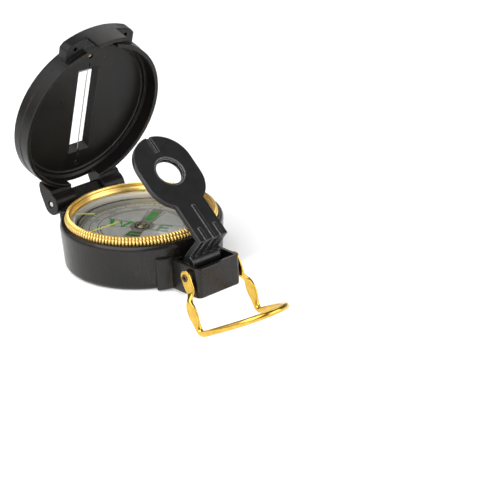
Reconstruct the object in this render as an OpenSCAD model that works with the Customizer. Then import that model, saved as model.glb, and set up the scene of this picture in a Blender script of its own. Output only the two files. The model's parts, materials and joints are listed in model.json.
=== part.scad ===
// Sighting compass: a round case with a floating dial, a hinged cover with a sighting wire,
// a folding eyepiece with a magnifier, a turning bezel and a wire thumb loop.
// Millimetres. Origin: centre of the case's flat underside. +Z up, +Y towards the cover hinge,
// -Y towards the user's eye, +X to the user's right. Drawn with the cover and eyepiece raised.

/* [Case] */
// Outer radius of the case at its rim
case_r = 28.5; // [28.3:0.1:28.7]
// Height of the case rim
case_h = 16.4; // [16.2:0.1:16.5]
// Thickness of the case floor
floor_t = 2.2; // [1.6:0.1:2.4]
// Radius of the round cavity that holds the capsule
cavity_r = 24.6; // [24.5:0.1:24.7]

/* [Bracket housing] */
// Distance from the dial axis to the housing's front face
box_front = 40.7; // [40.2:0.1:41.2]
// Half of the housing's width
box_half = 9.5; // [9.3:0.1:9.6]
// Height of the housing
box_h = 10.8; // [10.6:0.1:10.8]
// Thickness of the housing's walls
box_wall = 1.4; // [1.2:0.1:1.4]

/* [Cover] */
// Outer radius of the cover
lid_r = 29.1; // [28.9:0.1:29.3]
// Height of the cover's top face when it is shut
lid_top = 25; // [24.9:0.1:25.4]
// Height of the cover's lower edge when it is shut
lid_low = 16.9; // [16.8:0.1:17.1]
// Thickness of the cover's top plate
lid_plate = 2.2; // [2.1:0.1:2.3]
// Half of the width of the sighting slot in the cover's top face
slot_half = 2.95; // [2.8:0.05:3.1]
// How far the cover stands open, from shut
lid_open = 73; // [60:1:80]

/* [Hinge] */
// Distance from the dial axis to the cover's hinge pin
hinge_y = 32; // [31.9:0.1:32.2]
// Height of the cover's hinge pin
hinge_z = 16.2; // [16.1:0.1:16.3]
// Radius of the hinge pin
hinge_pin_r = 0.9; // [0.8:0.05:1]

/* [Bezel] */
// Outer radius of the bezel over its teeth
bezel_r = 26.75; // [26.5:0.05:26.8]
// Height of the bezel's top face
bezel_top = 19.1; // [18.9:0.1:19.1]
// Number of teeth round the bezel
bezel_teeth = 136; // [72:4:144]

/* [Eyepiece] */
// How far the eyepiece stands up, from folded flat
eye_up = 40.15; // [30:0.05:60]
// Length of the eyepiece plate from its heel to its tip
eye_len = 42.8; // [41.5:0.1:43]
// Half of the width of the eyepiece's round head
eye_head_r = 11.3; // [11:0.1:11.6]
// Half of the width of the eyepiece's stem
eye_stem = 6; // [5.8:0.1:6.1]
// Radius of the lens opening
lens_hole_r = 4.9; // [4.7:0.1:5.1]

/* [Thumb loop] */
// Radius of the loop's wire
wire_r = 1.15; // [1:0.05:1.15]
// Length of the loop's legs, from the rivets to the bow
leg_len = 19.6; // [19:0.1:20.5]
// Half of the width of the loop's bow
bow_half = 13; // [12.8:0.1:13.3]
// Depth of the loop's bow
bow_depth = 25.8; // [24:0.1:27]
// How far the legs hang out from straight down
loop_out = 26.8; // [10:0.1:40]

/* [Hidden] */
$fn = 96;
eps = 0.02;
slip = 0.05;            // radial clearance of a turning pin
press = 0.01;           // radial clearance of a fixed pin
gap = 0.3;              // clearance between parts that move past each other
through = 1;            // how far a cut reaches past the face it breaks through

// colours
black_plastic = [0.07, 0.07, 0.075];
dark_plastic = [0.1, 0.1, 0.11];
brass = [0.85, 0.66, 0.3];
gold = [0.92, 0.72, 0.3];
steel = [0.75, 0.76, 0.78];
bronze = [0.32, 0.25, 0.17];
card_grey = [0.78, 0.78, 0.76];
green_paint = [0.3, 0.68, 0.3];
yellow_paint = [0.78, 0.8, 0.25];
clear = [0.85, 0.92, 0.95, 0.35];
alloy = [0.7, 0.71, 0.72];
rubber = [0.12, 0.12, 0.12];
ruby = [0.7, 0.2, 0.3];

// case
foot_r = 27.7;          // radius of the case just above its rounded lower edge
rim_flat_r = 27.3;      // outer edge of the flat on top of the rim
rim_round = [1.2, 1.8]; // width and height of the rounding under it
bezel_seat_z = 14.6;    // ledge that the bezel turns on
bezel_seat_r = bezel_r + gap;
snap_z = [13.3, 14.1];  // bottom and top of the bezel's snap ring
pad_r = 29.4;           // flat-topped pads beside the housing
pad_half = 14.8;
pad_h = 11.8;
collar_r = 29.8;        // thicker band of the case below the hinge
collar_half = 17.5;
collar_z = 11.5;
knuckle_half = 6;       // half-length of the case's hinge barrel
knuckle_r = 3.3;
arm_half = 15.3;        // outer face of the cover's hinge arms
arm_r = 4;
arm_gap = 0.35;         // radial clearance round the arms
arm_x = knuckle_half + 0.25;

// housing pocket
pocket_half = box_half - box_wall;
pocket_floor = 1.5;
box_corner = 2;
box_root = 24;          // where the housing starts, inside the case wall
boss_r = 1.3;           // bosses that carry the eyepiece's pin

// eyepiece pivot and plate, drawn folded flat
eye_y = -31.8;
eye_z = 9.4;
eye_pin_r = 0.6;
barrel_r = 2.7;
heel_y = -30.8;
eye_bottom = bezel_top + gap;
eye_t = 2.1;
eye_top = eye_bottom + eye_t;
heel_t = 2;
rib_h = 0.4;
rib_w = 1.2;
lens_y = heel_y + 28.3;
lens_seat_r = 5.9;
tip_y = heel_y + eye_len;
head_near_y = heel_y + 24.9;
head_far_y = tip_y - eye_head_r;

// cover, drawn shut
lid_in_r = lid_r - 1.7;
lid_under = lid_top - lid_plate;
lid_round = 1.2;        // rounding of the top edge
lid_step_z = 20.8;      // where the skirt gets a little wider
ledge_r = 25.6;         // ledge between the skirt and the top plate
ledge_z = 22.4;
slot_y = [-14.7, 15.5];
slot_flare = [1.55, 2.2]; // how much further the slot reaches on the underside, in X and in Y
wire_z = 23.6;
sight_r = 0.22;
groove_half = 0.3;      // half-width of the groove that takes the wire to its holes
screw_y = [-21.7, 22.6];
screw_r = 1;
screw_head = [2.1, 0.7]; // radius and height
screw_slit = [0.6, 0.4]; // width and depth
wire_hole_y = [screw_y[0] + 2.9, screw_y[1] - 2.9];
wire_hole_r = 0.4;
pin_recess = [1.6, 0.5]; // radius and depth of the recess at each end of the hinge pin
tongue_r = 34;          // front edge of the cover's tongue
tongue_half = 14.7;
tongue_z = [18.8, 23];
tongue_hole = [10.8, -29.8]; // place of the blind holes in the tongue's underside
tongue_hole_r = 0.9;
apron_half = 6.2;       // apron that hides the eyepiece's heel
apron_low = eye_z + barrel_r + gap;
apron_t = 1.3;

// loop pivot
loop_y = -36;
loop_z = 7.2;
rivet_r = 1.2;
eyelet_x = 11;
eyelet_t = 1;
leaf_x = 13.2;
leaf_t = 1.2;

// capsule
cup_r = cavity_r - 0.2;
cup_neck_r = 22.9;
cup_shoulder = 12.5;
cup_top = 13.6;
window_z = [13.9, 14.7];
dial_r = 21.6;
dial_z = [11.8, 12.4];
north = 28;             // where the dial's north arrow points, from +X
letter_r = 8.6;         // distance of the painted letters from the dial axis

// points along an arc, from angle a0 to angle a1
function arc(c, r, a0, a1, n = 16) =
    [for (i = [0 : n]) let (a = a0 + (a1 - a0) * i / n) [c[0] + r * cos(a), c[1] + r * sin(a)]];

// points along a quarter of an ellipse
function elbow(c, r, a0, a1, n = 8) =
    [for (i = [0 : n]) let (a = a0 + (a1 - a0) * i / n) [c[0] + r[0] * cos(a), c[1] + r[1] * sin(a)]];

// a wheel outline with rounded teeth
function cog(r, depth, teeth) =
    [for (i = [0 : 4 * teeth - 1]) let (a = 90 * i / teeth, d = [0, 0.35, 1, 0.35][i % 4] * depth)
        [(r - d) * cos(a), (r - d) * sin(a)]];

// a cylinder along X between two x positions, at a place in the YZ plane
module bar_x(x0, x1, y, z, r) {
    translate([x0, y, z]) rotate([0, 90, 0]) cylinder(r = r, h = x1 - x0);
}

// an outline in the YZ plane, extruded along X
module plate_x(x0, x1, points) {
    translate([x0, 0, 0]) rotate([90, 0, 90]) linear_extrude(x1 - x0) polygon(points);
}

// a washer shape about Z
module ring(r_out, r_in, z0, z1) {
    rotate_extrude() translate([r_in, z0]) square([r_out - r_in, z1 - z0]);
}

// a cylinder about Z
module disc(r, z0, z1) {
    translate([0, 0, z0]) cylinder(r = r, h = z1 - z0);
}

// turns its children about an axis along X
module turned(y, z, angle) {
    translate([0, y, z]) rotate([angle, 0, 0]) translate([0, -y, -z]) children();
}

module case() {
    color(black_plastic) difference() {
        union() {
            case_wall();
            bracket_housing();
            side_pads();
            hinge_collar();
        }
        translate([0, 0, floor_t]) cylinder(r = cavity_r, h = case_h);
        translate([0, 0, bezel_seat_z]) cylinder(r = bezel_seat_r, h = case_h);
        ring(cavity_r + 0.5, cavity_r - 1, snap_z[0] - 0.05, snap_z[1] + 0.05);
        for (side = [0, 1]) mirror([side, 0, 0])
            bar_x(knuckle_half, arm_half + gap, hinge_y, hinge_z, arm_r + arm_gap);
        bar_x(-arm_half, arm_half, hinge_y, hinge_z, hinge_pin_r + press);
        bar_x(-box_half - through, box_half + through, eye_y, eye_z, eye_pin_r + press);
        bar_x(-box_half - through, box_half + through, loop_y, loop_z, rivet_r + slip);
    }
}

module case_wall() {
    rotate_extrude($fn = 180) polygon(concat(
        [[0, 0]],
        arc([foot_r - 2, 2], 2, -90, 0, 8),
        elbow([rim_flat_r, case_h - rim_round[1]], rim_round, 0, 90),
        [[0, case_h]]));
}

module bracket_housing() {
    difference() {
        linear_extrude(box_h) polygon(concat(
            [[box_half, -box_root], [-box_half, -box_root]],
            arc([box_corner - box_half, box_corner - box_front], box_corner, 180, 270, 8),
            arc([box_half - box_corner, box_corner - box_front], box_corner, 270, 360, 8)));
        difference() {
            translate([-pocket_half, box_wall - box_front, pocket_floor])
                cube([2 * pocket_half, box_front - box_root, box_h]);
            cylinder(r = case_r - 0.6, h = box_h);
            for (side = [0, 1]) mirror([side, 0, 0])
                bar_x(eye_stem + gap, box_half, eye_y, eye_z, boss_r);
        }
    }
}

module side_pads() {
    for (s = [-1, 1]) intersection() {
        cylinder(r = pad_r, h = pad_h);
        translate([s > 0 ? box_half - 1 : -pad_half, -30, 0])
            cube([pad_half - box_half + 1, 12, pad_h]);
    }
}

module hinge_collar() {
    intersection() {
        rotate_extrude($fn = 180) polygon([[20, collar_z - 1.5], [case_r - 0.5, collar_z - 1.5],
            [collar_r, collar_z], [collar_r, case_h - 0.6], [collar_r - 0.6, case_h], [20, case_h]]);
        translate([-collar_half, 10, 0]) cube([2 * collar_half, 25, case_h]);
    }
    bar_x(-knuckle_half, knuckle_half, hinge_y, hinge_z, knuckle_r);
    plate_x(-knuckle_half, knuckle_half, [[25, collar_z], [29.4, collar_z],
        [hinge_y, hinge_z - knuckle_r], [hinge_y, case_h], [25, case_h]]);
}

module capsule_cup() {
    color(alloy) rotate_extrude() polygon([[0, floor_t], [cup_r, floor_t], [cup_r, cup_shoulder],
        [cup_neck_r, cup_shoulder], [cup_neck_r, cup_top], [cup_neck_r - 0.7, cup_top],
        [cup_neck_r - 0.7, cup_shoulder - 0.8], [cup_r - 0.8, cup_shoulder - 0.8],
        [cup_r - 0.8, floor_t + 0.8], [0, floor_t + 0.8]]);
}

module window_gasket() {
    color(rubber) ring(cup_neck_r, cup_neck_r - 0.7, cup_top, window_z[0]);
}

module capsule_window() {
    color(clear) disc(cup_neck_r, window_z[0], window_z[1]);
}

module pivot_post() {
    base_z = floor_t + 0.8;
    color(brass) union() {
        disc(3, base_z, base_z + 0.8);
        disc(0.8, base_z, 9.4);
        translate([0, 0, 9.4 - eps]) cylinder(r1 = 0.8, r2 = 0.3, h = 0.8);
        disc(0.3, 10, 12);
    }
}

module hinge_pin() {
    color(steel) bar_x(-arm_half + 0.3, arm_half - 0.3, hinge_y, hinge_z, hinge_pin_r);
}

module eyepiece_pin() {
    color(steel) bar_x(-box_half + 0.1, box_half - 0.1, eye_y, eye_z, eye_pin_r);
}

module bezel_snap_ring() {
    color(steel) difference() {
        ring(cavity_r + 0.45, cavity_r - 0.55, snap_z[0], snap_z[1]);
        translate([-1.5, 20, snap_z[0] - 1]) cube([3, 10, 3]);
    }
}

module dial_card() {
    color(card_grey) difference() {
        disc(dial_r, dial_z[0], dial_z[1]);
        disc(1.6, dial_z[0] - 1, dial_z[1] + 1);
    }
}

module dial_magnets() {
    color(steel) for (s = [-1, 1]) translate([s * 4 - 0.8, -9, dial_z[0] - 1.4]) cube([1.6, 18, 1.4]);
}

module dial_hub() {
    color(brass) difference() {
        union() {
            disc(1.6, dial_z[0] - 1.2, dial_z[1]);
            translate([0, 0, dial_z[1]]) cylinder(r1 = 2.3, r2 = 1.5, h = 0.9);
        }
        disc(1, dial_z[0] - 2, dial_z[1] + 0.3);
    }
}

module dial_jewel() {
    color(ruby) difference() {
        disc(1, dial_z[0] - 0.6, dial_z[1] + 0.3);
        disc(0.36, dial_z[0] - 1, dial_z[1] - 0.35);
    }
}

// luminous paint on the dial: the north arrow, and the other three letters, which read upright
// when north is up
module luminous_marks() {
    letters = [
        [90, [[[-3.8, 2.6], [-1.9, -2.4], [0, 1.6], [1.9, -2.4], [3.8, 2.6]]]],
        [180, [[[2, 2.4], [-2, 2.4], [-2, 0], [2, 0], [2, -2.4], [-2, -2.4]]]],
        [270, [[[2, 2.4], [-2, 2.4], [-2, -2.4], [2, -2.4]], [[-2, 0], [1.2, 0]]]]];
    color(green_paint) translate([0, 0, dial_z[1]]) linear_extrude(0.1) rotate(north) {
        polygon([[5, -1.3], [11, -1.7], [14, 0], [12.3, 1.5], [5, 1.3]]);
        for (letter = letters) rotate(letter[0]) translate([letter_r, 0]) rotate(-90 - letter[0])
            for (line = letter[1], i = [0 : len(line) - 2]) stroke(line[i], line[i + 1]);
    }
}

// a painted stroke from one point to another
module stroke(a, b, w = 1.2) {
    run = b - a;
    translate(a) rotate(atan2(run[1], run[0])) translate([-w / 2, -w / 2]) square([norm(run) + w, w]);
}

module bezel_ring() {
    neck = [cup_neck_r + 0.3, cavity_r - 0.3];
    step_z = bezel_top - 1.3;
    color(brass) difference() {
        union() {
            translate([0, 0, bezel_seat_z + gap]) linear_extrude(step_z - bezel_seat_z - gap)
                polygon(cog(bezel_r, 0.45, bezel_teeth));
            translate([0, 0, step_z]) linear_extrude(bezel_top - step_z - 0.3)
                polygon(cog(bezel_r - 0.5, 0.4, bezel_teeth));
            translate([0, 0, bezel_top - 0.3]) cylinder(r1 = bezel_r - 0.95, r2 = bezel_r - 1.3, h = 0.3);
            disc(neck[1], 12.9, bezel_seat_z + gap + eps);
        }
        disc(neck[0], 12, bezel_top + 1);
        disc(24.1, 15.8, bezel_top + 1);
        translate([0, 0, 17]) cylinder(r1 = 24.1, r2 = 25.1, h = bezel_top - 17 + eps);
        ring(cavity_r, neck[1] - 0.45, snap_z[0] - 0.15, snap_z[1] + 0.15);
    }
}

module crystal() {
    color(clear) disc(24.05, 15.8, 16.6);
}

module crystal_lines() {
    color(yellow_paint) {
        rotate(130) translate([16.5, -0.35, 16.6]) cube([7, 0.7, 0.12]);
        rotate(177) translate([9.5, -0.35, 16.6]) cube([14, 0.7, 0.12]);
    }
}

module cover() {
    color(dark_plastic) turned(hinge_y, hinge_z, -lid_open) difference() {
        union() {
            cover_shell();
            tongue();
            for (side = [0, 1]) mirror([side, 0, 0]) hinge_arm();
        }
        sighting_slot();
        translate([-knuckle_half - gap, ledge_r + 0.4, lid_low - through])
            cube([2 * (knuckle_half + gap), 12, 21.6 - lid_low + through]);
        for (y = screw_y) translate([0, y, 0]) disc(screw_r, lid_under - through, lid_top + through);
        for (y = wire_hole_y) translate([0, y, 0]) disc(wire_hole_r, lid_under - through, lid_top + through);
        bar_x(-arm_half - through, arm_half + through, hinge_y, hinge_z, hinge_pin_r + slip);
        eyepiece_passage();
        for (side = [0, 1]) mirror([side, 0, 0]) {
            bar_x(arm_half - pin_recess[1], arm_half + through, hinge_y, hinge_z, pin_recess[0]);
            translate(tongue_hole) disc(tongue_hole_r, tongue_z[0] - through, tongue_z[0] + 2.4);
        }
    }
}

module cover_shell() {
    rotate_extrude($fn = 180) polygon(concat(
        [[lid_in_r, lid_low], [lid_r - 0.2, lid_low], [lid_r - 0.2, lid_step_z], [lid_r, lid_step_z + 0.2]],
        arc([lid_r - lid_round, lid_top - lid_round], lid_round, 0, 90, 6),
        [[0, lid_top], [0, lid_under], [ledge_r, lid_under], [ledge_r, ledge_z], [lid_in_r, ledge_z]]));
}

// the slot, flared towards the underside, and the grooves that take the wire on to its holes
module sighting_slot() {
    hull() {
        slot_outline([0, 0], lid_top);
        slot_outline(slot_flare, lid_under - eps);
    }
    translate([-groove_half, wire_hole_y[0], lid_under - through])
        cube([2 * groove_half, wire_hole_y[1] - wire_hole_y[0], wire_z + groove_half - lid_under + through]);
}

// a thin sheet the size of the slot, widened by some amount
module slot_outline(wider, z) {
    translate([-slot_half - wider[0], slot_y[0] - wider[1], z])
        cube([2 * (slot_half + wider[0]), slot_y[1] - slot_y[0] + 2 * wider[1], eps]);
}

// the part of the cover that reaches out over the housing
module tongue() {
    chamfer = 1.5;
    difference() {
        intersection() {
            disc(tongue_r, tongue_z[0], tongue_z[1]);
            translate([0, 0, tongue_z[0]]) linear_extrude(tongue_z[1] - tongue_z[0])
                polygon([[tongue_half, -20], [tongue_half, chamfer - 30.6], [tongue_half - chamfer, -35],
                    [chamfer - tongue_half, -35], [-tongue_half, chamfer - 30.6], [-tongue_half, -20]]);
        }
        disc(lid_in_r, 0, 30);
    }
    intersection() {
        ring(tongue_r, tongue_r - apron_t, apron_low, tongue_z[0] + eps);
        translate([-apron_half, -tongue_r, 0]) cube([2 * apron_half, 10, 30]);
    }
}

// room inside the tongue for the folded eyepiece's heel
module eyepiece_passage() {
    intersection() {
        disc(tongue_r - apron_t, 10, eye_top + rib_h + gap);
        translate([-eye_stem - 0.5, -tongue_r, 0]) cube([2 * eye_stem + 1, 9, 30]);
    }
}

module hinge_arm() {
    plate_x(arm_x, arm_half, concat(
        [[26.9, lid_low + 0.2], [26.9, 24.2], [29, 23.9]],
        arc([hinge_y, hinge_z], arm_r, 48, -180, 28)));
}

module sight_wire() {
    rise = lid_top + 0.3 - wire_z;
    span = wire_hole_y[1] - wire_hole_y[0];
    color(steel) turned(hinge_y, hinge_z, -lid_open) {
        translate([0, wire_hole_y[0], wire_z]) rotate([-90, 0, 0]) cylinder(r = sight_r, h = span, $fn = 24);
        for (y = wire_hole_y) translate([0, y, wire_z]) {
            cylinder(r = sight_r, h = rise, $fn = 24);
            sphere(r = sight_r, $fn = 24);
        }
    }
}

module wire_screws() {
    color(brass) turned(hinge_y, hinge_z, -lid_open) for (y = screw_y) translate([0, y, 0]) difference() {
        union() {
            disc(screw_r, lid_under - 0.3, lid_top);
            disc(screw_head[0], lid_top, lid_top + screw_head[1]);
        }
        translate([-screw_head[0] - through, -screw_slit[0] / 2, lid_top + screw_head[1] - screw_slit[1]])
            cube([2 * (screw_head[0] + through), screw_slit[0], screw_slit[1] + through]);
    }
}

// outline of the eyepiece plate: a stem that runs into a head with round ends
function eye_outline() = let (a = asin(eye_stem / eye_head_r)) concat(
    [[-eye_stem, heel_y], [eye_stem, heel_y]],
    arc([0, head_near_y], eye_head_r, a - 90, 0, 20),
    arc([0, head_far_y], eye_head_r, 0, 180, 40),
    arc([0, head_near_y], eye_head_r, 180, 270 - a, 20));

module eyepiece() {
    color(dark_plastic) turned(eye_y, eye_z, eye_up) difference() {
        union() {
            translate([0, 0, eye_bottom]) linear_extrude(eye_t) polygon(eye_outline());
            translate([-eye_stem, heel_y, eye_z]) cube([2 * eye_stem, heel_t, eye_bottom - eye_z + eps]);
            bar_x(-eye_stem, eye_stem, eye_y, eye_z, barrel_r);
            eyepiece_ribs();
        }
        bar_x(-eye_stem - 1, eye_stem + 1, eye_y, eye_z, eye_pin_r + slip);
        translate([0, lens_y, 0]) {
            disc(lens_hole_r, eye_bottom - 1, eye_top + 1);
            disc(lens_hole_r + 0.6, eye_top - 0.4, eye_top + 1);
            disc(lens_seat_r, eye_bottom - 1, eye_top - 0.8);
        }
        translate([-0.9, tip_y - 6.4, eye_top - 1.2]) cube([1.8, 7, 2]);
    }
}

module eyepiece_ribs() {
    front = heel_y - rib_h;
    for (rib = [[0, 14.2], [-3.3, 5.6], [3.3, 5.6]]) translate([rib[0] - rib_w / 2, front, 0]) {
        translate([0, 0, eye_top - 0.5]) cube([rib_w, rib[1] + rib_h, rib_h + 0.5]);
        translate([0, 0, eye_z + barrel_r]) cube([rib_w, rib_h + 0.2, eye_top + rib_h - eye_z - barrel_r]);
    }
}

module magnifier_lens() {
    color(clear) turned(eye_y, eye_z, eye_up) translate([0, lens_y, 0]) union() {
        disc(lens_seat_r - 0.05, eye_bottom + 0.4, eye_top - 0.8);
        disc(lens_hole_r - 0.1, eye_bottom + 0.4, eye_top - 0.5);
    }
}

module lens_ring() {
    color(dark_plastic) turned(eye_y, eye_z, eye_up) translate([0, lens_y, 0])
        ring(lens_seat_r, lens_hole_r, eye_bottom, eye_bottom + 0.4);
}

module loop_rivets() {
    color(bronze) for (side = [0, 1]) mirror([side, 0, 0]) {
        bar_x(pocket_half - 0.6, pocket_half - slip, loop_y, loop_z, 1.8);
        bar_x(pocket_half - slip - eps, eyelet_x + eyelet_t / 2 + slip, loop_y, loop_z, rivet_r);
        bar_x(box_half + slip, eyelet_x - eyelet_t / 2 - slip, loop_y, loop_z, 1.9);
        bar_x(eyelet_x + eyelet_t / 2 + slip, eyelet_x + eyelet_t / 2 + 0.7, loop_y, loop_z, 2);
    }
}

// stations along the loop's wire, each a point and two unit vectors across the wire: down one leg,
// round the bow and up the other leg. The legs hang along -Z and the bow points to -Y.
function loop_stations(end_r = 10.5, bend = 2) = let (
    end_d = bow_depth - end_r - bend,
    side_r = (bow_half * bow_half + end_d * end_d - end_r * end_r) / (2 * (bow_half - end_r)),
    spread = asin(end_d / (side_r - end_r)),
    corner = function (side, a) [
        [side * bow_half, bend * cos(a) - bend, bend - bend * sin(a) - leg_len],
        [side, 0, 0],
        [0, -cos(a), sin(a)]],
    bow = function (centre, r, a) [
        [centre[0] + r * cos(a), centre[1] + r * sin(a), -leg_len],
        [cos(a), sin(a), 0],
        [0, 0, 1]])
    concat(
        [[[bow_half, 0, 3.5 - leg_len], [1, 0, 0], [0, -1, 0]]],
        [for (i = [0 : 7]) corner(1, 90 * i / 8)],
        [for (i = [0 : 9]) bow([bow_half - side_r, -bend], side_r, -spread * i / 10)],
        [for (i = [0 : 24]) bow([0, -bend - end_d], end_r, -spread - (180 - 2 * spread) * i / 24)],
        [for (i = [9 : -1 : 0]) bow([side_r - bow_half, -bend], side_r, -180 + spread * i / 10)],
        [for (i = [7 : -1 : 0]) corner(-1, 90 * i / 8)],
        [[[-bow_half, 0, 3.5 - leg_len], [-1, 0, 0], [0, -1, 0]]]);

// a round wire through a list of stations
module wire(stations, r, sides = 12) {
    last = len(stations) - 1;
    polyhedron(
        points = [for (s = stations, k = [0 : sides - 1])
            s[0] + r * (cos(360 * k / sides) * s[1] + sin(360 * k / sides) * s[2])],
        faces = concat(
            [[for (k = [0 : sides - 1]) k]],
            [for (i = [0 : last - 1], k = [0 : sides - 1]) let (n = (k + 1) % sides)
                [i * sides + k, (i + 1) * sides + k, (i + 1) * sides + n, i * sides + n]],
            [[for (k = [sides - 1 : -1 : 0]) last * sides + k]]));
}

// turned out from straight down about its rivets
module thumb_loop() {
    color(gold) translate([0, loop_y, loop_z]) rotate([-loop_out, 0, 0]) union() {
        wire(loop_stations(), wire_r);
        for (side = [0, 1]) mirror([side, 0, 0]) {
            eyelet();
            leaf();
        }
    }
}

// flattened end with the rivet hole, and the neck that steps out to the leaf
module eyelet() {
    difference() {
        plate_x(eyelet_x - eyelet_t / 2, eyelet_x + eyelet_t / 2, concat(
            arc([0, 0], 2.5, 0, 180, 16), [[-2.3, -5], [-1.1, -6.6], [1.1, -6.6], [2.3, -5]]));
        bar_x(eyelet_x - 2, eyelet_x + 2, 0, 0, rivet_r + slip);
    }
    translate([eyelet_x, 0, -6.2]) rotate([0, 180 - atan((leaf_x - eyelet_x) / 2.4), 0])
        cylinder(r = 1.1, h = 3.3, $fn = 32);
}

// flattened stretch of each leg
module leaf() {
    leaf_len = 9.6;
    steps = 12;
    half = [for (i = [0 : steps]) [1.05 + 1.5 * sin(180 * i / steps), -8.2 - leaf_len * i / steps]];
    plate_x(leaf_x - leaf_t / 2, leaf_x + leaf_t / 2, concat(
        half, [for (i = [steps : -1 : 0]) [-half[i][0], half[i][1]]]));
}

case();
capsule_cup();
window_gasket();
capsule_window();
pivot_post();
hinge_pin();
eyepiece_pin();
bezel_snap_ring();
dial_card();
dial_magnets();
dial_hub();
dial_jewel();
luminous_marks();
bezel_ring();
crystal();
crystal_lines();
cover();
sight_wire();
wire_screws();
eyepiece();
magnifier_lens();
lens_ring();
loop_rivets();
thumb_loop();
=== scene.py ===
import json
import math

import bmesh
import bpy
from mathutils import Matrix, Vector


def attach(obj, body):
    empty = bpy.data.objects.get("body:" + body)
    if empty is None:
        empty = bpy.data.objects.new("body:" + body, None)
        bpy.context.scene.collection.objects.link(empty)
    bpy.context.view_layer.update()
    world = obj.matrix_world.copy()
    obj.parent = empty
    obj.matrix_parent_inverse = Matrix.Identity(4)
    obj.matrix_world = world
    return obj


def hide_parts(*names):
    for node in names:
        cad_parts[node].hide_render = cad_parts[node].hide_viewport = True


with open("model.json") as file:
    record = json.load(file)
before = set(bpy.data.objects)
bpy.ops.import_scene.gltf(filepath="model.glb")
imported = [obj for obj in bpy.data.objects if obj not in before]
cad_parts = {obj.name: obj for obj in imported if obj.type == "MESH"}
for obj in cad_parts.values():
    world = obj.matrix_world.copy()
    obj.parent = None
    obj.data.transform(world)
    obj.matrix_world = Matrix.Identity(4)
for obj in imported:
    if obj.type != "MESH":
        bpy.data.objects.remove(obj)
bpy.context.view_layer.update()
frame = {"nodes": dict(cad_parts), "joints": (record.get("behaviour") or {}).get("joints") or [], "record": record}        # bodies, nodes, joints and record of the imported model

# Everything is drawn in millimetres: +Z up the dial axis, +Y towards the cover hinge, +X to the
# user's right. The cover is drawn shut, the eyepiece folded flat and the thumb loop with its legs
# straight down; placed() then turns each to where it stands at rest.
MM = 0.001
JOINTS = {j["name"]: j for j in frame["joints"]}
RATIOS = {c["joint"]: c["ratio"] for c in frame["record"]["behaviour"]["couplings"]}
HINGE_Y, HINGE_Z = (v / MM for v in JOINTS["cover_hinge"]["pos_m"][1:])
EYE_Y, EYE_Z = (v / MM for v in JOINTS["eyepiece_hinge"]["pos_m"][1:])
LOOP_PIVOT = Vector(JOINTS["loop_swing"]["pos_m"]) / MM

# how far each stands from where it is drawn, in degrees
LID_OPEN = JOINTS["cover_hinge"]["range_deg"][1]
EYE_UP = -RATIOS["eyepiece_hinge"] * LID_OPEN
LOOP_OUT = 26.8

# case: wall, rim (its rounding is wide, high), bezel seat and cavity
CASE_R, CASE_H, FOOT_R, FOOT_ROUND = 28.5, 16.4, 27.7, 2.0
RIM_FLAT_R, RIM_ROUND, RIM_BREAK = 27.3, (1.2, 1.8), 0.15
SEAT_R, SEAT_Z, CAVITY_R, FLOOR = 27.05, 14.6, 24.6, 2.2

# case: what is moulded onto the wall, from a root radius inside it
ROOT_R = 26.0
BOX_FRONT, BOX_HALF, BOX_H, BOX_WALL, BOX_CORNER, POCKET_FLOOR = 40.7, 9.5, 10.8, 1.4, 2.0, 1.5
PAD_R, PAD_H, PAD_BEARING, PAD_SWEEP = 29.4, 11.8, 24.5, 5.8
COLLAR_R, COLLAR_HALF, COLLAR_Z = 29.8, 17.5, 11.5
KNUCKLE_HALF, KNUCKLE_R, ARM_HALF, ARM_R = 6.0, 3.3, 15.3, 4.0

# cover: disc, skirt and ledge; slot (y range, extra half-width and length underneath); tongue
LID_R, LID_TOP, LID_LOW, LID_UNDER, LID_FACE_R = 29.1, 25.0, 16.9, 22.8, 27.6
LID_IN_R, LEDGE_R, LEDGE_Z, LID_STEP_Z = 27.4, 25.6, 22.4, 20.8
SLOT_HALF, SLOT_Y, SLOT_FLARE = 2.95, (-14.7, 15.5), (1.55, 2.2)
SCREW_Y, SCREW_HOLE_R, WIRE_HOLE_Y, WIRE_HOLE_R, WIRE_Z = (-21.7, 22.6), 1.0, (-18.8, 19.7), 0.4, 23.6
TONGUE_R, TONGUE_HALF, TONGUE_Z, TONGUE_CORNER = 34.0, 14.7, (18.8, 23.0), 1.5
TONGUE_HOLE, TONGUE_HOLE_R = (10.8, -29.8), 0.9
APRON_HALF, APRON_LOW, APRON_T = 6.2, 12.4, 1.3

# eyepiece
BARREL_R, HEEL_Y, HEEL_T = 2.7, -30.8, 2.0
PLATE_Z, EYE_STEM, EYE_HEAD_R = (19.4, 21.5), 6.0, 11.3
HEAD_NEAR_Y, HEAD_FAR_Y, LENS_Y, TIP_Y = -5.9, 0.7, -2.5, 12.0
LENS_HOLE_R, LENS_SEAT_R, LENS_SEAT_D, RIB_W, RIB_H = 4.9, 5.9, 0.8, 1.2, 0.4

# bezel, windows and dial; NORTH is the dial's bearing from +X in degrees
TEETH, BEZEL_LOW, BEZEL_TOP, TOP_EDGE_Z = 136, 14.9, 19.1, 18.9
CRYSTAL_R, CRYSTAL_Z, GLASS_R, GLASS_Z = 24.05, (15.8, 16.6), 22.9, (13.9, 14.7)
DIAL_R, DIAL_Z, HUB_HOLE_R, NORTH, LETTER_R = 21.6, (11.8, 12.4), 1.6, 28.0, 8.6
INK_W, INK_H, PAINT_H = 0.28, 0.035, 0.14

# thumb loop: the bow's wire lies LEG below the rivets, and the legs run from eyelet to leaf to wire
WIRE_R, LEG, BOW_HALF, BOW_DEPTH, END_R, BEND = 1.15, 19.6, 13.0, 25.8, 10.5, 2.0
EYELET_X, EYELET_T, RIVET_R, RIVET_GAP = 11.0, 1.0, 1.2, 0.12

scene = bpy.context.scene


# ---------------------------------------------------------------- camera, light and floor

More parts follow.
